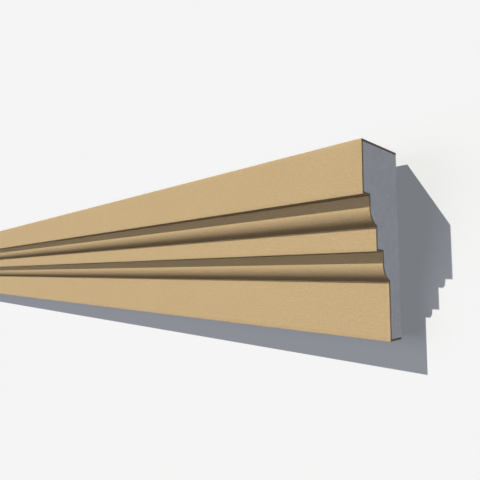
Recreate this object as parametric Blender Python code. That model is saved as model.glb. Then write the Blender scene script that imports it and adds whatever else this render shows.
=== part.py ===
"""Window surround moulding: a length of stepped facade trim, cut square at both ends.

A rigid foam core is covered by a thin render coat on its top, its whole front and its foot.
Units are metres. +X runs along the length, -Y faces away from the wall and +Z is up.
The origin is the centre of the flat back, which goes on the wall.
"""

import math

import bpy

# Length of the piece, cut square at both ends
LENGTH = 1.300

# Heights of the three flat bands, from the top down
TOP_BAND_HEIGHT = 0.045
MIDDLE_BAND_HEIGHT = 0.020
BOTTOM_BAND_HEIGHT = 0.050

# Under the top and the middle band: a soffit, a flat fillet and a round ovolo that turns back to the next band
SOFFIT_DEPTH = 0.010
FILLET_HEIGHT = 0.010
OVOLO_HEIGHT = 0.015
OVOLO_DEPTH = 0.010

# How far the lowest band stands out from the wall
BOTTOM_BAND_DEPTH = 0.020

# The render coat, and the play that keeps the two meshes apart
COAT_THICKNESS = 0.002
BOND_GAP = 0.0003

# Straight pieces in one ovolo
OVOLO_SEGMENTS = 14

BANDS_OVER_A_STEP = (TOP_BAND_HEIGHT, MIDDLE_BAND_HEIGHT)
STEP_HEIGHT = FILLET_HEIGHT + OVOLO_HEIGHT
STEP_DEPTH = SOFFIT_DEPTH + OVOLO_DEPTH
HEIGHT = sum(BANDS_OVER_A_STEP) + len(BANDS_OVER_A_STEP) * STEP_HEIGHT + BOTTOM_BAND_HEIGHT
TOP_BAND_DEPTH = BOTTOM_BAND_DEPTH + len(BANDS_OVER_A_STEP) * STEP_DEPTH


def clear_scene():
    """Removes every object, so that the script gives the same model each time."""
    for obj in list(bpy.data.objects):
        bpy.data.objects.remove(obj, do_unlink=True)


def plain_material(name, colour, roughness, metallic=0.0):
    """A Principled material of one colour, which also shows in the solid view."""
    material = bpy.data.materials.new(name)
    material.use_nodes = True
    shader = material.node_tree.nodes["Principled BSDF"]
    shader.inputs["Base Color"].default_value = (*colour, 1.0)
    shader.inputs["Roughness"].default_value = roughness
    shader.inputs["Metallic"].default_value = metallic
    material.diffuse_color = (*colour, 1.0)
    return material


def ovolo_points(depth, top, inset):
    """Points (depth, height) down one ovolo, which starts upright at (depth, top) on the outer face.

    The outer arc is tangent to the fillet above and OVOLO_DEPTH deep after OVOLO_HEIGHT.
    An inset arc keeps its centre, and ends where it meets the inset face of the next band.
    """
    radius = (OVOLO_HEIGHT**2 + OVOLO_DEPTH**2) / (2 * OVOLO_DEPTH)
    inner_radius = radius - inset
    sweep = math.acos((inner_radius - OVOLO_DEPTH) / inner_radius)
    angles = [sweep * i / OVOLO_SEGMENTS for i in range(OVOLO_SEGMENTS + 1)]
    return [(depth - radius + inner_radius * math.cos(a), top - inner_radius * math.sin(a)) for a in angles]


def face_outline(inset):
    """Points (depth, height) of the moulded face set in by inset, from the wall at the top to the wall at the foot."""
    level = HEIGHT
    depth = TOP_BAND_DEPTH
    points = [(0.0, level - inset), (depth - inset, level - inset)]
    for band_height in BANDS_OVER_A_STEP:
        level -= band_height
        points.append((depth - inset, level + inset))
        depth -= SOFFIT_DEPTH
        points.append((depth - inset, level + inset))
        level -= FILLET_HEIGHT
        points += ovolo_points(depth, level, inset)
        depth -= OVOLO_DEPTH
        level -= OVOLO_HEIGHT
    points += [(depth - inset, inset), (0.0, inset)]
    return points


def extruded_length(name, outline, material, collection):
    """A closed outline drawn out to both sides of the middle of the length, with its depths towards -Y."""
    curve = bpy.data.curves.new(name, "CURVE")
    curve.dimensions = "2D"
    curve.fill_mode = "BOTH"
    curve.extrude = LENGTH / 2
    spline = curve.splines.new("POLY")
    spline.points.add(len(outline) - 1)
    for point, (depth, height) in zip(spline.points, outline):
        point.co = (-depth, height - HEIGHT / 2, 0.0, 1.0)
    spline.use_cyclic_u = True
    curve.materials.append(material)
    obj = bpy.data.objects.new(name, curve)
    # The outline's own x, y and z become the world's y, z and x
    obj.rotation_euler = (math.pi / 2, 0.0, math.pi / 2)
    collection.objects.link(obj)
    return obj


def build_foam_core(collection):
    """The foam prism: the whole section inside the coat, flat at the back."""
    white_foam = plain_material("white_foam", (0.86, 0.87, 0.88), 0.85)
    return extruded_length("foam_core", face_outline(COAT_THICKNESS + BOND_GAP), white_foam, collection)


def build_render_coat(collection):
    """The coat: from its outer face back to its inner face, with both edges in the plane of the back."""
    tan_render = plain_material("tan_render", (0.57, 0.41, 0.22), 0.9)
    outline = face_outline(0.0) + face_outline(COAT_THICKNESS)[::-1]
    return extruded_length("render_coat", outline, tan_render, collection)


def main():
    """Builds the two pieces in a collection named for the object."""
    clear_scene()
    collection = bpy.data.collections.new("window_surround_moulding")
    bpy.context.scene.collection.children.link(collection)
    build_foam_core(collection)
    build_render_coat(collection)


main()
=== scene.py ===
"""Looks of the window surround moulding: a sanded tan render coat over a white foam core.

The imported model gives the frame. Both of its solids are replaced by finer meshes of the same
section: the coat gets softened arrises, soffits that fall a little, a slight unevenness and a
cut face that shows its mortar, and the foam gets the pattern of its cut beads. Lengths are in
metres. +X runs along the moulding, -Y faces away from the wall and +Z is up.
"""

from __future__ import annotations

import logging
import math
import random
from dataclasses import dataclass, field
from enum import Enum
from typing import Any

import bpy
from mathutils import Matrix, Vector
from mathutils.geometry import delaunay_2d_cdt


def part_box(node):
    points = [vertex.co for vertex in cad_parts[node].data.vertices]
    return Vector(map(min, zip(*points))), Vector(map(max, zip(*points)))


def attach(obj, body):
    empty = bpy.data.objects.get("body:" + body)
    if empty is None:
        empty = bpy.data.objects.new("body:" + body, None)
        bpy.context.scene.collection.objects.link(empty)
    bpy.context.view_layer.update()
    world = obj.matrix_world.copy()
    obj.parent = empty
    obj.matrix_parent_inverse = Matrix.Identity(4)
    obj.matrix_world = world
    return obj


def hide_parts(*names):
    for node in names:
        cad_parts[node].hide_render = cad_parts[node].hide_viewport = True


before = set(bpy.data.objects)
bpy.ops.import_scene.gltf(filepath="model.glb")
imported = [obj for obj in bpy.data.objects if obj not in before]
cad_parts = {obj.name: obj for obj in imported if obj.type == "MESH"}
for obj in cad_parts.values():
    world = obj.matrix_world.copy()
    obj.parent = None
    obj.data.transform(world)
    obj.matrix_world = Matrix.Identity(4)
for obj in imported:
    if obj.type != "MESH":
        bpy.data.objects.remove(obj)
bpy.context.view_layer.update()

LOG = logging.getLogger("moulding")

Point = tuple[float, float]
Place = tuple[float, float, float]
Colour = tuple[float, float, float]


class Node(Enum):
    """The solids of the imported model."""

    FOAM = "foam_core"
    COAT = "render_coat"


class Slot(Enum):
    """The record's material slots."""

    FOAM = "white_foam"
    COAT = "tan_render"


class End(Enum):
    """The two cut ends, by the sign of X there."""

    LEFT = -1
    RIGHT = 1


class Reach(Enum):
    """What a light shines on."""

    MOULDING = "moulding"
    STAGE = "stage"


class Wire:
    """One node's output, on which Python's operators add Math nodes."""

    def __init__(self, graph: Graph, node: bpy.types.Node, output: str | None = None) -> None:
        """Remembers the node, and which of its outputs is meant.

        Args:
            graph: The graph that the node is in.
            node: The node itself.
            output: The output's name, or None for the first one in use.
        """
        self.graph = graph
        self.node = node
        self.output = output

    @property
    def socket(self) -> bpy.types.NodeSocket:
        """The output socket."""
        if self.output is not None:
            return self.node.outputs[self.output]
        return next(socket for socket in self.node.outputs if socket.enabled)

    def __getitem__(self, output: str) -> Wire:
        """Another output of the same node."""
        return Wire(self.graph, self.node, output)

    def _maths(self, operation: str, first: Wire | float, second: Wire | float) -> Wire:
        """A Math node on two values."""
        return self.graph.node("ShaderNodeMath", {"operation": operation}, {0: first, 1: second})

    def __add__(self, other: Wire | float) -> Wire:
        """The sum."""
        return self._maths("ADD", self, other)

    def __radd__(self, other: float) -> Wire:
        """The sum, with the number first."""
        return self._maths("ADD", other, self)

    def __sub__(self, other: Wire | float) -> Wire:
        """The difference."""
        return self._maths("SUBTRACT", self, other)

    def __rsub__(self, other: float) -> Wire:
        """The difference, with the number first."""
        return self._maths("SUBTRACT", other, self)

    def __mul__(self, other: Wire | float) -> Wire:
        """The product."""
        return self._maths("MULTIPLY", self, other)

    def __rmul__(self, other: float) -> Wire:
        """The product, with the number first."""
        return self._maths("MULTIPLY", other, self)

    def __truediv__(self, other: Wire | float) -> Wire:
        """The quotient."""
        return self._maths("DIVIDE", self, other)

    def __gt__(self, other: Wire | float) -> Wire:
        """1 where the left side is larger, and 0 elsewhere."""
        return self._maths("GREATER_THAN", self, other)


class Graph:
    """A node tree that is written as expressions."""

    def __init__(self, tree: bpy.types.NodeTree) -> None:
        """Starts on a tree, which keeps the nodes it has.

        Args:
            tree: A shader tree or a geometry tree.
        """
        self.tree = tree

    def node(
        self,
        kind: str,
        settings: dict[str, Any] | None = None,
        values: dict[int | str, Any] | None = None,
    ) -> Wire:
        """Adds a node.

        Args:
            kind: The node's type.
            settings: Its properties, set first. "stops" gives a colour ramp's stops.
            values: By index, identifier or name, each input's value, its wire, or a list of wires.

        Returns:
            The node's first output in use.
        """
        made = self.tree.nodes.new(kind)
        for name, value in (settings or {}).items():
            if name == "stops":
                self._set_stops(made.color_ramp, value)
            else:
                setattr(made, name, value)
        for key, value in (values or {}).items():
            self._feed(self._input(made, key), value)
        return Wire(self, made)

    @staticmethod
    def _input(node: bpy.types.Node, key: int | str) -> bpy.types.NodeSocket:
        """The input with this index, identifier or name, of those in use."""
        if isinstance(key, int):
            return node.inputs[key]
        used = [socket for socket in node.inputs if socket.enabled]
        named = [socket for socket in used if socket.identifier == key]
        named += [socket for socket in used if socket.name == key]
        return named[0]

    def _feed(self, socket: bpy.types.NodeSocket, value: Any) -> None:
        """Links a wire or several to the socket, or sets its value."""
        for item in value if isinstance(value, list) else [value]:
            if isinstance(item, Wire):
                self.tree.links.new(item.socket, socket)
            else:
                socket.default_value = item

    @staticmethod
    def _set_stops(ramp: bpy.types.ColorRamp, stops: list[tuple[float, Colour]]) -> None:
        """Sets a colour ramp's stops."""
        while len(ramp.elements) < len(stops):
            ramp.elements.new(1.0)
        for element, (position, colour) in zip(ramp.elements, stops):
            element.position = position
            element.color = (*colour, 1.0)


class GeometryGraph(Graph):
    """A Geometry Nodes tree with named inputs, which turns one mesh into another."""

    def __init__(self, name: str, inputs: dict[str, str]) -> None:
        """Makes the tree and its sockets.

        Args:
            name: The tree's name.
            inputs: The socket type of each named input, besides the geometry.
        """
        super().__init__(bpy.data.node_groups.new(name, "GeometryNodeTree"))
        sockets = self.tree.interface
        sockets.new_socket("Geometry", in_out="INPUT", socket_type="NodeSocketGeometry")
        sockets.new_socket("Geometry", in_out="OUTPUT", socket_type="NodeSocketGeometry")
        self.identifiers = {
            label: sockets.new_socket(label, in_out="INPUT", socket_type=kind).identifier
            for label, kind in inputs.items()
        }
        self.given = self.node("NodeGroupInput")

    def close(self, geometry: Wire, finishes: list[tuple[Wire | bool, Wire]]) -> None:
        """Realises instances, sets the materials and ends the tree.

        Args:
            geometry: The finished geometry.
            finishes: Pairs of a selection and the material that it gets, in order.
        """
        done = self.node("GeometryNodeRealizeInstances", {}, {"Geometry": geometry})
        for chosen, finish in finishes:
            done = self.node(
                "GeometryNodeSetMaterial",
                {},
                {"Geometry": done, "Selection": chosen, "Material": finish},
            )
        self.node("NodeGroupOutput", {}, {"Geometry": done})

    def run(self, mesh: bpy.types.Mesh, settings: dict[str, Any]) -> bpy.types.Mesh:
        """Runs the tree on a mesh.

        Args:
            mesh: The mesh that the tree starts from. It is removed afterwards.
            settings: A value for each named input. Its materials become the mesh's slots.

        Returns:
            The result as a plain mesh.
        """
        for value in settings.values():
            if isinstance(value, bpy.types.Material):
                mesh.materials.append(value)
        holder = bpy.data.objects.new(mesh.name, mesh)
        bpy.context.scene.collection.objects.link(holder)
        modifier = holder.modifiers.new(self.tree.name, "NODES")
        modifier.node_group = self.tree
        for label, value in settings.items():
            modifier[self.identifiers[label]] = value
        graph = bpy.context.evaluated_depsgraph_get()
        result = bpy.data.meshes.new_from_object(
            holder.evaluated_get(graph), preserve_all_data_layers=True, depsgraph=graph
        )
        while result.materials and result.materials[-1] is None:
            result.materials.pop()
        holder.modifiers.remove(modifier)
        bpy.data.objects.remove(holder)
        bpy.data.meshes.remove(mesh)
        return result


@dataclass(frozen=True)
class Section:
    """The stepped section. Depths run out from the wall, and heights up from the foot.

    Each soffit falls a little towards the wall.
    """

    length: float
    depth: float
    height: float
    top_band: float = 0.045
    middle_band: float = 0.020
    soffit: float = 0.010
    soffit_fall: float = 0.0005
    fillet: float = 0.010
    ovolo_height: float = 0.015
    ovolo_depth: float = 0.010
    ovolo_segments: int = 18

    @classmethod
    def from_frame(cls) -> Section:
        """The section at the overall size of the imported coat."""
        low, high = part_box(Node.COAT.value)
        return cls(length=high.x - low.x, depth=high.y - low.y, height=high.z - low.z)

    def ovolo(self, depth: float, top: float, inset: float) -> list[Point]:
        """Points down one ovolo.

        Args:
            depth: Depth of the outer face at the ovolo's top.
            top: Height of the ovolo's top.
            inset: How far inside the outer face the points lie.

        Returns:
            Points (depth, height) on an arc that starts upright.
        """
        radius = (self.ovolo_height**2 + self.ovolo_depth**2) / (2 * self.ovolo_depth)
        inner = radius - inset
        sweep = math.acos((inner - self.ovolo_depth) / inner)
        angles = [sweep * i / self.ovolo_segments for i in range(self.ovolo_segments + 1)]
        return [(depth - radius + inner * math.cos(a), top - inner * math.sin(a)) for a in angles]

    def face(self, inset: float, back: float = 0.0) -> list[Point]:
        """The moulded face, from the wall at the top to the wall at the foot.

        Args:
            inset: How far inside the outer face the points lie.
            back: Depth at which both ends of the outline stop.

        Returns:
            Points (depth, height).
        """
        level = self.height
        depth = self.depth
        points = [(back, level - inset), (depth - inset, level - inset)]
        for band in (self.top_band, self.middle_band):
            level -= band
            points.append((depth - inset, level + inset))
            depth -= self.soffit
            points.append((depth - inset, level + inset - self.soffit_fall))
            level -= self.fillet
            points += self.ovolo(depth, level, inset)
            depth -= self.ovolo_depth
            level -= self.ovolo_height
        return points + [(depth - inset, inset), (back, inset)]

    def place(self, point: Point, along: float) -> Place:
        """The world position of an outline point, this far along X."""
        return (along, -point[0], point[1] - self.height / 2)


def turn_at(before: Point, corner: Point, after: Point) -> float:
    """The angle by which an outline turns at a corner, positive to the left."""
    first = Vector((corner[0] - before[0], corner[1] - before[1]))
    second = Vector((after[0] - corner[0], after[1] - corner[1]))
    return math.atan2(first.x * second.y - first.y * second.x, first.dot(second))


def softened(points: list[Point], radius: float, segments: int) -> list[Point]:
    """Rounds the corners of an open outline.

    Args:
        points: The outline.
        radius: Radius at each corner.
        segments: Straight pieces in each rounded corner.

    Returns:
        The outline with its corners rounded. Gentle turns, as along an arc, stay.
    """
    least_turn = math.radians(30)
    result = [points[0]]
    for before, corner, after in zip(points, points[1:], points[2:]):
        turn = turn_at(before, corner, after)
        if abs(turn) < least_turn:
            result.append(corner)
            continue
        place = Vector(corner)
        back = (Vector(before) - place).normalized()
        ahead = (Vector(after) - place).normalized()
        reach = radius * math.tan(abs(turn) / 2)
        middle = place + (back + ahead).normalized() * radius / math.cos(turn / 2)
        start = place + back * reach - middle
        for i in range(segments + 1):
            angle = turn * i / segments
            cosine, sine = math.cos(angle), math.sin(angle)
            arm = Vector((start.x * cosine - start.y * sine, start.x * sine + start.y * cosine))
            result.append((middle.x + arm.x, middle.y + arm.y))
    return result + [points[-1]]


def divided(points: list[Point], counts: list[int]) -> list[Point]:
    """Adds evenly spaced points to an outline.

    Args:
        points: The outline.
        counts: How many equal pieces each stretch is cut into.

    Returns:
        The outline with the new points in it.
    """
    result = []
    for first, second, count in zip(points, points[1:], counts):
        for i in range(count):
            part = i / count
            result.append(tuple(a + (b - a) * part for a, b in zip(first, second)))
    return result + [points[-1]]


def pieces_in(points: list[Point], spacing: float) -> list[int]:
    """How many pieces of about this length each stretch of an outline takes."""
    stretches = zip(points, points[1:])
    return [max(1, round(math.dist(first, second) / spacing)) for first, second in stretches]


def noise(graph: Graph, place: Wire, size: float, detail: float = 2.0) -> Wire:
    """A cloudy pattern from 0 to 1, whose features are about this size."""
    return graph.node(
        "ShaderNodeTexNoise", {}, {"Vector": place, "Scale": 1 / size, "Detail": detail}
    )


def grains(graph: Graph, place: Wire, size: float) -> tuple[Wire, Wire]:
    """A pattern of round grains of about this size.

    Args:
        graph: The material's graph.
        place: The position that the pattern is read at.
        size: The width of a grain.

    Returns:
        How high a point is on its grain, and a tone from 0 to 1 for the whole grain.
    """
    cells = graph.node("ShaderNodeTexVoronoi", {}, {"Vector": place, "Scale": 1 / size})
    tone = graph.node("ShaderNodeSeparateColor", {}, {"Color": cells["Color"]})["Red"]
    return 1.0 - cells["Distance"], tone


def overlaid(*layers: tuple[float, Wire]) -> Wire:
    """Patterns from 0 to 1 laid over each other about their middle, each with its own weight."""
    middle = 0.5
    total: Wire | float = middle
    for weight, pattern in layers:
        total = total + weight * (pattern - middle)
    return total


def between(graph: Graph, first: Colour, second: Colour, share: Wire) -> Wire:
    """The colour at this share of the way from the first to the second."""
    return graph.node(
        "ShaderNodeMix",
        {"data_type": "RGBA", "clamp_factor": True},
        {"Factor_Float": share, "A_Color": (*first, 1.0), "B_Color": (*second, 1.0)},
    )["Result"]


def bumpy(graph: Graph, height: Wire, relief: float) -> Wire:
    """The surface's direction, bent by a height pattern with this relief."""
    return graph.node(
        "ShaderNodeBump", {}, {"Strength": 1.0, "Distance": relief, "Height": height}
    )


@dataclass(frozen=True)
class SandedRender:
    """Tan render with fine sand in it, floated flat along the length."""

    dark: Colour = (0.525, 0.375, 0.198)
    light: Colour = (0.615, 0.445, 0.242)
    grain: float = 0.0008
    dust_per_grain: float = 2.2
    drag: float = 0.0012
    drag_stretch: float = 3.0
    drift: float = 0.045
    detail: float = 3.0
    grain_tint: float = 0.6
    dust_tint: float = 0.3
    drag_tint: float = 1.1
    drift_tint: float = 0.35
    grain_height: float = 0.55
    dust_height: float = 0.45
    drag_height: float = 1.1
    relief: float = 0.00016
    roughness: float = 0.92
    sheen: float = 0.15

    def material(self) -> bpy.types.Material:
        """The finished material."""
        material, graph, shader = new_material("sanded_render")
        place = graph.node("ShaderNodeTexCoord")["Object"]
        along = graph.node(
            "ShaderNodeVectorMath",
            {"operation": "MULTIPLY"},
            {0: place, 1: (1 / self.drag_stretch, 1.0, 1.0)},
        )
        rise, tone = grains(graph, place, self.grain)
        dust = noise(graph, place, self.grain / self.dust_per_grain)
        drag = noise(graph, along, self.drag, self.detail)
        drift = noise(graph, place, self.drift, self.detail)
        share = overlaid(
            (self.grain_tint, tone),
            (self.dust_tint, dust),
            (self.drag_tint, drag),
            (self.drift_tint, drift),
        )
        height = self.grain_height * rise + self.dust_height * dust + self.drag_height * drag
        feed_shader(
            graph,
            shader,
            {
                "Base Color": between(graph, self.dark, self.light, share),
                "Normal": bumpy(graph, height, self.relief),
                "Roughness": self.roughness,
                "Specular IOR Level": self.sheen,
            },
        )
        return material


@dataclass(frozen=True)
class CutMortar:
    """The cut face of the coat: a thin tan skin, then grey mortar with sand in it."""

    skin: Colour = (0.50, 0.37, 0.21)
    mortar: Colour = (0.285, 0.235, 0.175)
    skin_share: float = 0.16
    skin_blend: float = 0.06
    raggedness: float = 0.12
    grain: float = 0.0006
    specks_per_grain: float = 1.5
    grain_weight: float = 0.6
    speck_weight: float = 0.4
    darkest: float = 0.82
    tone_range: float = 0.36
    relief: float = 0.00015
    roughness: float = 0.95

    def material(self) -> bpy.types.Material:
        """The finished material."""
        material, graph, shader = new_material("cut_mortar")
        place = graph.node("ShaderNodeTexCoord")["Object"]
        depth = graph.node("ShaderNodeAttribute", {"attribute_name": RenderCoat.DEPTH})["Fac"]
        rise, tone = grains(graph, place, self.grain)
        specks = noise(graph, place, self.grain / self.specks_per_grain)
        ragged = depth + self.raggedness * (specks - 0.5)
        below_skin = self.skin_share + self.skin_blend
        layers = graph.node(
            "ShaderNodeValToRGB",
            {"stops": [(self.skin_share, self.skin), (below_skin, self.mortar)]},
            {"Fac": ragged},
        )
        patchy = self.grain_weight * tone + self.speck_weight * specks
        shade = self.darkest + self.tone_range * patchy
        grey = graph.node(
            "ShaderNodeCombineColor", {}, {"Red": shade, "Green": shade, "Blue": shade}
        )
        colour = graph.node(
            "ShaderNodeMix",
            {"data_type": "RGBA", "blend_type": "MULTIPLY"},
            {"Factor_Float": 1.0, "A_Color": layers, "B_Color": grey},
        )
        height = self.grain_weight * rise + self.speck_weight * specks
        feed_shader(
            graph,
            shader,
            {
                "Base Color": colour["Result"],
                "Normal": bumpy(graph, height, self.relief),
                "Roughness": self.roughness,
            },
        )
        return material


@dataclass(frozen=True)
class CutFoam:
    """White foam, cut by a hot wire across its fused beads."""

    shade: Colour = (0.775, 0.81, 0.83)
    bright: Colour = (0.865, 0.90, 0.92)
    fine: float = 0.0005
    cloud: float = 0.06
    bead_tint: float = 0.6
    fine_tint: float = 0.4
    cloud_tint: float = 0.3
    relief: float = 0.00003
    roughness: float = 0.7

    def material(self) -> bpy.types.Material:
        """The finished material."""
        material, graph, shader = new_material("cut_foam")
        place = graph.node("ShaderNodeTexCoord")["Object"]
        bead = graph.node("ShaderNodeAttribute", {"attribute_name": FoamCore.TONE})["Fac"]
        cells = noise(graph, place, self.fine)
        cloud = noise(graph, place, self.cloud)
        share = overlaid((self.bead_tint, bead), (self.fine_tint, cells), (self.cloud_tint, cloud))
        feed_shader(
            graph,
            shader,
            {
                "Base Color": between(graph, self.shade, self.bright, share),
                "Normal": bumpy(graph, cells, self.relief),
                "Roughness": self.roughness,
            },
        )
        return material


def new_material(name: str) -> tuple[bpy.types.Material, Graph, bpy.types.Node]:
    """An empty node material.

    Args:
        name: The material's name.

    Returns:
        The material, the graph on its tree and its Principled shader.
    """
    material = bpy.data.materials.new(name)
    material.use_nodes = True
    shader = material.node_tree.nodes["Principled BSDF"]
    return material, Graph(material.node_tree), shader


def feed_shader(graph: Graph, shader: bpy.types.Node, values: dict[str, Any]) -> None:
    """Sets or links inputs of a shader that is already there."""
    for name, value in values.items():
        if isinstance(value, Wire):
            graph.tree.links.new(value.socket, shader.inputs[name])
        else:
            shader.inputs[name].default_value = value


def add_piece(name: str, mesh: bpy.types.Mesh, node: Node) -> bpy.types.Object:
    """Puts a finished mesh in the scene, in place of a solid of the model.

    Args:
        name: The piece's name.
        mesh: Its mesh, in the model's own frame.
        node: The solid that it stands for.

    Returns:
        The piece, which rides on the model and throws no light back on what is beside it.
    """
    mesh.name = name
    piece = bpy.data.objects.new(name, mesh)
    piece.visible_diffuse = False
    bpy.context.scene.collection.objects.link(piece)
    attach(piece, "root")
    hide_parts(node.value)
    mesh.calc_loop_triangles()
    LOG.info("%s: %d triangles", name, len(mesh.loop_triangles))
    return piece


@dataclass
class RenderCoat:
    """The coat over the top, the front and the foot, open at the back and at both ends."""

    section: Section
    thickness: float = 0.002
    arris_radius: float = 0.00012
    inner_radius: float = 0.00003
    corner_segments: int = 4
    spacing: float = 0.0042
    rings: int = 4
    length_steps: int = 240
    unevenness: float = 0.00008
    wave: float = 0.032
    wave_stretch: Place = (0.55, 1.0, 1.0)
    seed: float = 3.0
    face_limit: float = 0.01
    back_limit: float = 0.0001
    weld: float = 1e-6
    sharp_angle: float = 40.0

    DEPTH = "coat_depth"

    def outlines(self) -> tuple[list[Point], list[Point]]:
        """The outer and the inner outline, with as many points each."""
        outer = softened(self.section.face(0.0), self.arris_radius, self.corner_segments)
        inner = softened(
            self.section.face(self.thickness), self.inner_radius, self.corner_segments
        )
        counts = pieces_in(outer, self.spacing)
        return divided(outer, counts), divided(inner, counts)

    def cut_face(self) -> tuple[bpy.types.Mesh, int]:
        """The cut face of the coat, upright at X = 0 and facing +X.

        Returns:
            The mesh, whose first points go once round its edge, and how many those are.
        """
        outer, inner = self.outlines()
        last = len(outer) - 1
        edge = [(0, i) for i in range(last + 1)]
        edge += [(ring, last) for ring in range(1, self.rings)]
        edge += [(self.rings, i) for i in range(last, -1, -1)]
        edge += [(ring, 0) for ring in range(self.rings - 1, 0, -1)]
        inside = [(ring, i) for ring in range(1, self.rings) for i in range(1, last)]
        numbers = {key: number for number, key in enumerate(edge + inside)}
        positions = []
        for ring, i in numbers:
            part = ring / self.rings
            point = tuple(a + (b - a) * part for a, b in zip(outer[i], inner[i]))
            positions.append(self.section.place(point, 0.0))
        faces = [
            [numbers[key] for key in ((ring, i), (ring, i + 1), (ring + 1, i + 1), (ring + 1, i))]
            for ring in range(self.rings)
            for i in range(last)
        ]
        mesh = bpy.data.meshes.new("coat_section")
        mesh.from_pydata(positions, [], faces)
        depth = mesh.attributes.new(self.DEPTH, "FLOAT", "POINT")
        depth.data.foreach_set("value", [ring / self.rings for ring, _ in numbers])
        return mesh, len(edge)

    def tree(self) -> GeometryGraph:
        """The tree that draws the cut face out along the length, and makes its outside uneven."""
        graph = GeometryGraph(
            "drawn_out_section",
            {
                "Length": "NodeSocketFloat",
                "Length Steps": "NodeSocketInt",
                "Edge Points": "NodeSocketInt",
                "Unevenness": "NodeSocketFloat",
                "Waves": "NodeSocketFloat",
                "Seed": "NodeSocketFloat",
                "Face Finish": "NodeSocketMaterial",
                "Cut Finish": "NodeSocketMaterial",
            },
        )
        given = graph.given
        half = given["Length"] * 0.5
        cut = given["Geometry"]
        sides = self._sides(graph, cut)
        right = graph.node(
            "GeometryNodeSetPosition",
            {},
            {"Geometry": cut, "Offset": graph.node("ShaderNodeCombineXYZ", {}, {"X": half})},
        )
        left = graph.node(
            "GeometryNodeSetPosition",
            {},
            {
                "Geometry": graph.node("GeometryNodeFlipFaces", {}, {"Mesh": cut}),
                "Offset": graph.node("ShaderNodeCombineXYZ", {}, {"X": 0.0 - half}),
            },
        )
        joined = graph.node("GeometryNodeJoinGeometry", {}, {"Geometry": [sides, right, left]})
        closed = graph.node(
            "GeometryNodeMergeByDistance", {}, {"Geometry": joined, "Distance": self.weld}
        )
        uneven = self._uneven(graph, closed)
        off_face = self._depth(graph) > self.face_limit
        graph.close(uneven, [(True, given["Face Finish"]), (off_face, given["Cut Finish"])])
        return graph

    def _depth(self, graph: GeometryGraph) -> Wire:
        """How deep in the coat a point is, from 0 on its face to 1 on the foam."""
        return graph.node(
            "GeometryNodeInputNamedAttribute", {"data_type": "FLOAT"}, {"Name": self.DEPTH}
        )["Attribute"]

    def _sides(self, graph: GeometryGraph, cut: Wire) -> Wire:
        """The long surfaces: a grid whose columns follow the edge of the cut face."""
        given = graph.given
        grid = graph.node(
            "GeometryNodeMeshGrid",
            {},
            {
                "Size X": given["Length"],
                "Size Y": 1.0,
                "Vertices X": given["Length Steps"] + 1.0,
                "Vertices Y": given["Edge Points"] + 1.0,
            },
        )
        index = graph.node("GeometryNodeInputIndex")
        rows = given["Edge Points"] + 1.0
        row = graph.node("ShaderNodeMath", {"operation": "FLOORED_MODULO"}, {0: index, 1: rows})
        column = graph.node(
            "ShaderNodeMath", {"operation": "FLOORED_MODULO"}, {0: row, 1: given["Edge Points"]}
        )
        place = graph.node("GeometryNodeInputPosition")
        on_edge = graph.node(
            "GeometryNodeSampleIndex",
            {"data_type": "FLOAT_VECTOR", "domain": "POINT"},
            {"Geometry": cut, "Value": place, "Index": column},
        )
        depth = graph.node(
            "GeometryNodeSampleIndex",
            {"data_type": "FLOAT", "domain": "POINT"},
            {"Geometry": cut, "Value": self._depth(graph), "Index": column},
        )
        marked = graph.node(
            "GeometryNodeStoreNamedAttribute",
            {"data_type": "FLOAT", "domain": "POINT"},
            {"Geometry": grid["Mesh"], "Name": self.DEPTH, "Value": depth},
        )
        across = graph.node("ShaderNodeSeparateXYZ", {}, {"Vector": on_edge})
        along = graph.node("ShaderNodeSeparateXYZ", {}, {"Vector": place})
        target = graph.node(
            "ShaderNodeCombineXYZ", {}, {"X": along["X"], "Y": across["Y"], "Z": across["Z"]}
        )
        bent = graph.node("GeometryNodeSetPosition", {}, {"Geometry": marked, "Position": target})
        return graph.node("GeometryNodeFlipFaces", {}, {"Mesh": bent})

    def _uneven(self, graph: GeometryGraph, geometry: Wire) -> Wire:
        """Moves the outer face in and out by a smooth pattern. The back and the ends stay flat."""
        given = graph.given
        place = graph.node("GeometryNodeInputPosition")
        stretched = graph.node(
            "ShaderNodeVectorMath",
            {"operation": "MULTIPLY"},
            {0: place, 1: self.wave_stretch},
        )
        pattern = graph.node(
            "ShaderNodeTexNoise",
            {"noise_dimensions": "4D"},
            {"Vector": stretched, "W": given["Seed"], "Scale": given["Waves"], "Detail": 2.0},
        )
        normal = graph.node("GeometryNodeInputNormal")
        outward = given["Unevenness"] * (pattern - 0.5)
        out_from_wall = 0.0 - graph.node("ShaderNodeSeparateXYZ", {}, {"Vector": place})["Y"]
        off_wall = out_from_wall > self.back_limit
        on_face = (1.0 - (self._depth(graph) > self.face_limit)) * off_wall
        move = graph.node(
            "ShaderNodeVectorMath",
            {"operation": "SCALE"},
            {0: normal, "Scale": outward * on_face},
        )
        across = graph.node("ShaderNodeSeparateXYZ", {}, {"Vector": move})
        upright = graph.node("ShaderNodeCombineXYZ", {}, {"Y": across["Y"], "Z": across["Z"]})
        return graph.node("GeometryNodeSetPosition", {}, {"Geometry": geometry, "Offset": upright})

    def build(self) -> bpy.types.Object:
        """Makes the coat."""
        cut, edge_points = self.cut_face()
        mesh = self.tree().run(
            cut,
            {
                "Length": self.section.length,
                "Length Steps": self.length_steps,
                "Edge Points": edge_points,
                "Unevenness": self.unevenness,
                "Waves": 1 / self.wave,
                "Seed": self.seed,
                "Face Finish": SandedRender().material(),
                "Cut Finish": CutMortar().material(),
            },
        )
        mesh.shade_smooth()
        mesh.set_sharp_from_angle(angle=math.radians(self.sharp_angle))
        return add_piece("sanded_render_coat", mesh, Node.COAT)


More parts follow.
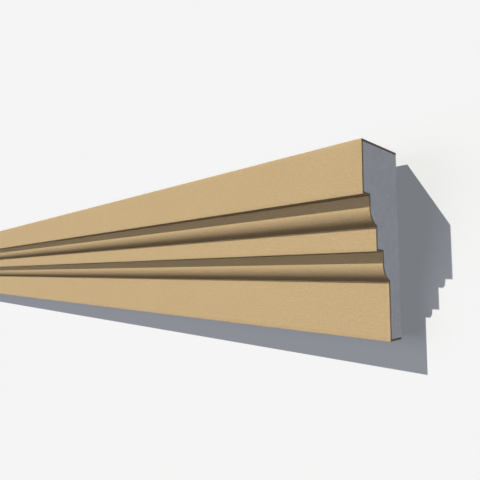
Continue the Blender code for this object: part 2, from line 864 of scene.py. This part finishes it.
@dataclass
class FoamCore:
    """The foam inside the coat, with its beads showing on both cut ends and on the back."""

    section: Section
    inset: float = 0.00202
    bead: float = 0.005
    jitter: float = 0.27
    edge_margin: float = 0.42
    groove: float = 0.00016
    lowest_bead: float = 0.6
    crown: float = 0.9
    weld: float = 2e-6
    sheet_tolerance: float = 1e-9
    seed: int = 7
    rng: random.Random = field(init=False)

    TONE = "bead_tone"
    SKIN = "hidden_skin"

    def __post_init__(self) -> None:
        """Seeds the scatter of the beads."""
        self.rng = random.Random(self.seed)

    def lattice(self, loop: list[Point]) -> list[Point]:
        """Bead centres inside a closed outline: staggered rows, with each centre a little off."""
        row_height = self.bead * math.sqrt(3) / 2
        xs, ys = [p[0] for p in loop], [p[1] for p in loop]
        centres = []
        for row in range(1, int((max(ys) - min(ys)) / row_height) + 1):
            y = min(ys) + row * row_height
            shift = self.bead / 2 * (row % 2)
            for step in range(int((max(xs) - min(xs)) / self.bead) + 1):
                x = min(xs) + shift + step * self.bead
                off = [self.bead * self.jitter * self.rng.uniform(-1, 1) for _ in range(2)]
                centre = (x + off[0], y + off[1])
                if clear_inside(centre, loop, self.bead * self.edge_margin):
                    centres.append(centre)
        return centres

    def sheet(self, loop: list[Point]) -> tuple[list[Point], list[tuple[int, ...]]]:
        """Triangles between the bead centres and the outline.

        Args:
            loop: The closed outline, anticlockwise.

        Returns:
            The points, which start with the outline's, and the triangles.
        """
        points = loop + self.lattice(loop)
        edges = [(i, (i + 1) % len(loop)) for i in range(len(loop))]
        flat = [Vector(p) for p in points]
        done = delaunay_2d_cdt(flat, edges, [], 1, self.sheet_tolerance)
        return [(v.x, v.y) for v in done[0]], [tuple(face) for face in done[2]]

    def block(self) -> bpy.types.Mesh:
        """The plain block: triangles on the ends and the back, and one face for each hidden strip.

        Returns:
            The mesh. The hidden strips meet the sheets at the middles of their edges too, where
            the cells of the finished beads have points.
        """
        reach = self.section.length / 2 - self.groove
        front = self.section.face(self.inset, back=self.groove)
        front = divided(front, pieces_in(front, self.bead))
        rear = [front[-1], front[0]]
        rear = divided(rear, pieces_in(rear, self.bead))
        long_edge = [(-reach, 0.0), (reach, 0.0)]
        long_edge = divided(long_edge, pieces_in(long_edge, self.bead))
        positions: list[Place] = []
        faces: list[list[int]] = []
        hidden: list[bool] = []

        def add(points: list[Place], cells: list[list[int]], skin: bool) -> None:
            """Appends points and the faces between them."""
            start = len(positions)
            positions.extend(points)
            faces.extend([start + i for i in cell] for cell in cells)
            hidden.extend([skin] * len(cells))

        loop = [(-d, h) for d, h in front + rear[1:-1]]
        points, cells = self.sheet(loop)
        for end in End:
            placed = [self.section.place((-y, z), end.value * reach) for y, z in points]
            add(placed, [list(c[:: end.value]) for c in cells], False)
        low, high = front[-1][1], front[0][1]
        uprights = [h for _, h in rear]
        along = [x for x, _ in long_edge]
        between_corners = uprights[1:-1]
        loop = [(x, low) for x in along] + [(reach, h) for h in between_corners]
        loop += [(x, high) for x in reversed(along)]
        loop += [(-reach, h) for h in reversed(between_corners)]
        points, cells = self.sheet(loop)
        placed = [self.section.place((self.groove, z), x) for x, z in points]
        add(placed, [list(c[::-1]) for c in cells], False)
        halved = divided(front, [2] * (len(front) - 1))
        stations = [x for x, _ in divided(long_edge, [2] * (len(long_edge) - 1))]
        for i, (first, second) in enumerate(zip(halved, halved[1:])):
            strip = [self.section.place(first, -reach), self.section.place(second, -reach)]
            if i == len(halved) - 2:
                strip += [self.section.place(second, x) for x in stations[1:-1]]
            strip += [self.section.place(second, reach), self.section.place(first, reach)]
            if i == 0:
                strip += [self.section.place(first, x) for x in reversed(stations[1:-1])]
            add(strip, [list(range(len(strip)))], True)
        mesh = bpy.data.meshes.new("foam_block")
        mesh.from_pydata(positions, [], faces)
        mesh.attributes.new(self.SKIN, "BOOLEAN", "FACE").data.foreach_set("value", hidden)
        return mesh

    def tree(self) -> GeometryGraph:
        """The tree that turns the triangles into beads with grooves between them."""
        graph = GeometryGraph(
            "cut_beads",
            {
                "Groove": "NodeSocketFloat",
                "Crown": "NodeSocketFloat",
                "Seed": "NodeSocketInt",
                "Finish": "NodeSocketMaterial",
            },
        )
        given = graph.given
        hidden = graph.node(
            "GeometryNodeInputNamedAttribute", {"data_type": "BOOLEAN"}, {"Name": self.SKIN}
        )["Attribute"]
        split = graph.node(
            "GeometryNodeSeparateGeometry",
            {"domain": "FACE"},
            {"Geometry": given["Geometry"], "Selection": hidden},
        )
        cells = graph.node(
            "GeometryNodeDualMesh", {}, {"Mesh": split["Inverted"], "Keep Boundaries": True}
        )
        tone = graph.node(
            "FunctionNodeRandomValue",
            {"data_type": "FLOAT"},
            {"Min": 0.0, "Max": 1.0, "Seed": given["Seed"]},
        )
        toned = graph.node(
            "GeometryNodeStoreNamedAttribute",
            {"data_type": "FLOAT", "domain": "FACE"},
            {"Geometry": cells, "Name": self.TONE, "Value": tone},
        )
        rise = graph.node(
            "FunctionNodeRandomValue",
            {"data_type": "FLOAT"},
            {
                "Min": given["Groove"] * self.lowest_bead,
                "Max": given["Groove"],
                "Seed": given["Seed"] + 1.0,
            },
        )
        raised = graph.node(
            "GeometryNodeExtrudeMesh",
            {"mode": "FACES"},
            {"Mesh": toned, "Offset Scale": rise, "Individual": True},
        )
        crowned = graph.node(
            "GeometryNodeScaleElements",
            {"domain": "FACE"},
            {"Geometry": raised["Mesh"], "Selection": raised["Top"], "Scale": given["Crown"]},
        )
        joined = graph.node(
            "GeometryNodeJoinGeometry", {}, {"Geometry": [crowned, split["Selection"]]}
        )
        closed = graph.node(
            "GeometryNodeMergeByDistance", {}, {"Geometry": joined, "Distance": self.weld}
        )
        graph.close(closed, [(True, given["Finish"])])
        return graph

    def build(self) -> bpy.types.Object:
        """Makes the foam core."""
        mesh = self.tree().run(
            self.block(),
            {
                "Groove": self.groove,
                "Crown": self.crown,
                "Seed": self.seed,
                "Finish": CutFoam().material(),
            },
        )
        mesh.shade_flat()
        return add_piece("beaded_foam_core", mesh, Node.FOAM)


def clear_inside(point: Point, loop: list[Point], margin: float) -> bool:
    """Whether a point is inside a closed outline and at least this far from it."""
    x, y = point
    inside = False
    for (x1, y1), (x2, y2) in zip(loop, loop[1:] + loop[:1]):
        if (y1 > y) != (y2 > y) and x < x1 + (y - y1) * (x2 - x1) / (y2 - y1):
            inside = not inside
        run = (x2 - x1, y2 - y1)
        part = ((x - x1) * run[0] + (y - y1) * run[1]) / (run[0] ** 2 + run[1] ** 2)
        part = min(1.0, max(0.0, part))
        if math.dist(point, (x1 + part * run[0], y1 + part * run[1])) < margin:
            return False
    return inside


def heading(bearing: float, rise: float) -> Vector:
    """A direction from its angles in degrees: bearing 0 is straight off the wall, 90 is +X."""
    turn, lift = math.radians(bearing), math.radians(rise)
    level = math.cos(lift)
    return Vector((level * math.sin(turn), -level * math.cos(turn), math.sin(lift)))


@dataclass(frozen=True)
class FarLight:
    """A round light a long way off: soft if it is wide, and like the sun at half a degree."""

    name: str
    bearing: float
    rise: float
    width: float
    colour: Colour
    reach: Reach
    casts_shadow: bool = True

    def hang(self, receivers: dict[Reach, bpy.types.Collection]) -> None:
        """Adds the lamp, which shines straight on things and isn't met by light off them.

        Args:
            receivers: The things that each kind of lamp shines on.
        """
        light = bpy.data.lights.new(self.name, "SUN")
        brightest = max(self.colour)
        light.energy = math.pi * brightest
        light.color = [part / brightest for part in self.colour]
        light.angle = math.radians(self.width)
        light.use_shadow = self.casts_shadow
        light.cycles.use_multiple_importance_sampling = False
        lamp = bpy.data.objects.new(self.name, light)
        bpy.context.scene.collection.objects.link(lamp)
        lamp.rotation_mode = "QUATERNION"
        lamp.rotation_quaternion = heading(self.bearing, self.rise).to_track_quat("Z", "Y")
        lamp.light_linking.receiver_collection = receivers[self.reach]


@dataclass
class Studio:
    """The wall, the floor, the light and the camera.

    The soft light of the photograph isn't blocked by the steps, and its lit wall is even right
    up to the cut end. So the moulding's two wide lamps cast no shadow, and the stage has its own.
    """

    section: Section
    pieces: list[bpy.types.Object]
    wall_gap: float = 0.010
    wall_size: float = 6.0
    floor_drop: float = 0.9
    wall_colour: Colour = (0.936, 0.936, 0.965)
    floor_colour: Colour = (0.78, 0.775, 0.81)
    # painted fill light: an even glow on the wall and floor that lifts the shadows on them
    painted_fill_glow: Colour = (0.190, 0.202, 0.217)
    backdrop_colour: Colour = (0.913, 0.913, 0.913)
    lights: tuple[FarLight, ...] = (
        FarLight("key_light", -30, 40, 0.5, (1.033, 1.022, 0.955), Reach.MOULDING),
        FarLight("sky_light", -90, 70, 180, (0.549, 0.575, 0.635), Reach.MOULDING, False),
        FarLight("ground_light", 90, -70, 180, (0.113, 0.105, 0.109), Reach.MOULDING, False),
        FarLight("wall_key_light", -30, 40, 0.5, (1.047, 1.027, 0.941), Reach.STAGE),
        FarLight("wall_soft_light", -40, 0, 42, (0.106, 0.102, 0.125), Reach.STAGE),
    )
    view_angle: float = 60.0
    near_clip: float = 0.01
    camera_from_end: float = 0.1656
    camera_from_wall: float = 0.3557
    camera_height: float = 0.0570
    camera_turn: float = 45.89
    camera_tilt: float = 4.604

    def build(self) -> None:
        """Makes the whole stage."""
        self.light([self.wall(), self.floor()])
        self.backdrop()
        self.camera()
        scene = bpy.context.scene
        scene.view_settings.view_transform = "Standard"
        scene.view_settings.look = "None"
        LOG.info("stage: wall, floor, %d lights and camera", len(self.lights))

    def plane(self, name: str, corners: list[Place], colour: Colour) -> bpy.types.Object:
        """A flat part of the stage, which takes shadows, glows a little with painted fill light
        and throws no light.

        Args:
            name: Its name.
            corners: Its corners, anticlockwise as seen from its front.
            colour: Its colour.

        Returns:
            The object, which is see-through from behind.
        """
        material, graph, shader = new_material(name)
        feed_shader(
            graph,
            shader,
            {
                "Base Color": (*colour, 1.0),
                "Roughness": 1.0,
                "Specular IOR Level": 0.0,
                # painted fill light: the glow lifts the shadows on the stage
                "Emission Color": (*self.painted_fill_glow, 1.0),
                "Emission Strength": 1.0,
            },
        )
        behind = graph.node("ShaderNodeNewGeometry")["Backfacing"]
        clear = graph.node("ShaderNodeBsdfTransparent")
        both = graph.node("ShaderNodeMixShader", {}, {0: behind, 1: Wire(graph, shader), 2: clear})
        graph.tree.links.new(both.socket, graph.tree.nodes["Material Output"].inputs["Surface"])
        mesh = bpy.data.meshes.new(name)
        mesh.from_pydata(corners, [], [[0, 1, 2, 3]])
        mesh.materials.append(material)
        sheet = bpy.data.objects.new(name, mesh)
        bpy.context.scene.collection.objects.link(sheet)
        sheet.visible_diffuse = False
        sheet.visible_glossy = False
        sheet.visible_transmission = False
        sheet.visible_shadow = False
        return sheet

    def wall(self) -> bpy.types.Object:
        """The wall behind the moulding, a little way off its back."""
        side, foot = self.wall_size / 2, -self.floor_drop
        low, high = (side, foot), (-side, foot + self.wall_size)
        corners = [(high[0], low[1]), (low[0], low[1]), (low[0], high[1]), (high[0], high[1])]
        upright = [(x, self.wall_gap, z) for x, z in corners]
        return self.plane("pale_wall", upright, self.wall_colour)

    def floor(self) -> bpy.types.Object:
        """The floor, below the photograph's view."""
        side = self.wall_size / 2
        corners = [(-side, -side), (side, -side), (side, side), (-side, side)]
        level = [(x, y, -self.floor_drop) for x, y in corners]
        return self.plane("pale_floor", level, self.floor_colour)

    def backdrop(self) -> None:
        """A plain pale backdrop that only the camera sees."""
        world = bpy.data.worlds.new("backdrop")
        bpy.context.scene.world = world
        world.use_nodes = True
        graph = Graph(world.node_tree)
        graph.tree.nodes.clear()
        dark = graph.node("ShaderNodeBackground", {}, {"Color": (0.0, 0.0, 0.0, 1.0)})
        plain = graph.node("ShaderNodeBackground", {}, {"Color": (*self.backdrop_colour, 1.0)})
        seen = graph.node("ShaderNodeLightPath")["Is Camera Ray"]
        both = graph.node("ShaderNodeMixShader", {}, {0: seen, 1: dark, 2: plain})
        graph.node("ShaderNodeOutputWorld", {}, {"Surface": both})

    def light(self, sheets: list[bpy.types.Object]) -> None:
        """Hangs the lights.

        Args:
            sheets: The wall and the floor.
        """
        receivers = {}
        for reach, things in ((Reach.MOULDING, self.pieces), (Reach.STAGE, sheets)):
            receivers[reach] = bpy.data.collections.new(f"lit_{reach.value}")
            for thing in things:
                receivers[reach].objects.link(thing)
        for lamp in self.lights:
            lamp.hang(receivers)

    def camera(self) -> None:
        """The camera: near the right end, looking along the front and a little up."""
        data = bpy.data.cameras.new("camera")
        data.angle = math.radians(self.view_angle)
        data.clip_start = self.near_clip
        eye = bpy.data.objects.new("camera", data)
        bpy.context.scene.collection.objects.link(eye)
        eye.location = (
            self.section.length / 2 + self.camera_from_end,
            -self.camera_from_wall,
            self.camera_height - self.section.height / 2,
        )
        rise = math.radians(90 + self.camera_tilt)
        eye.rotation_euler = (rise, 0.0, math.radians(self.camera_turn))
        bpy.context.scene.camera = eye


def main() -> None:
    """Builds the pieces, then the stage."""
    logging.basicConfig(level=logging.INFO, format="%(name)s: %(message)s")
    section = Section.from_frame()
    pieces = [RenderCoat(section).build(), FoamCore(section).build()]
    Studio(section, pieces).build()


if __name__ == "__main__":
    main()
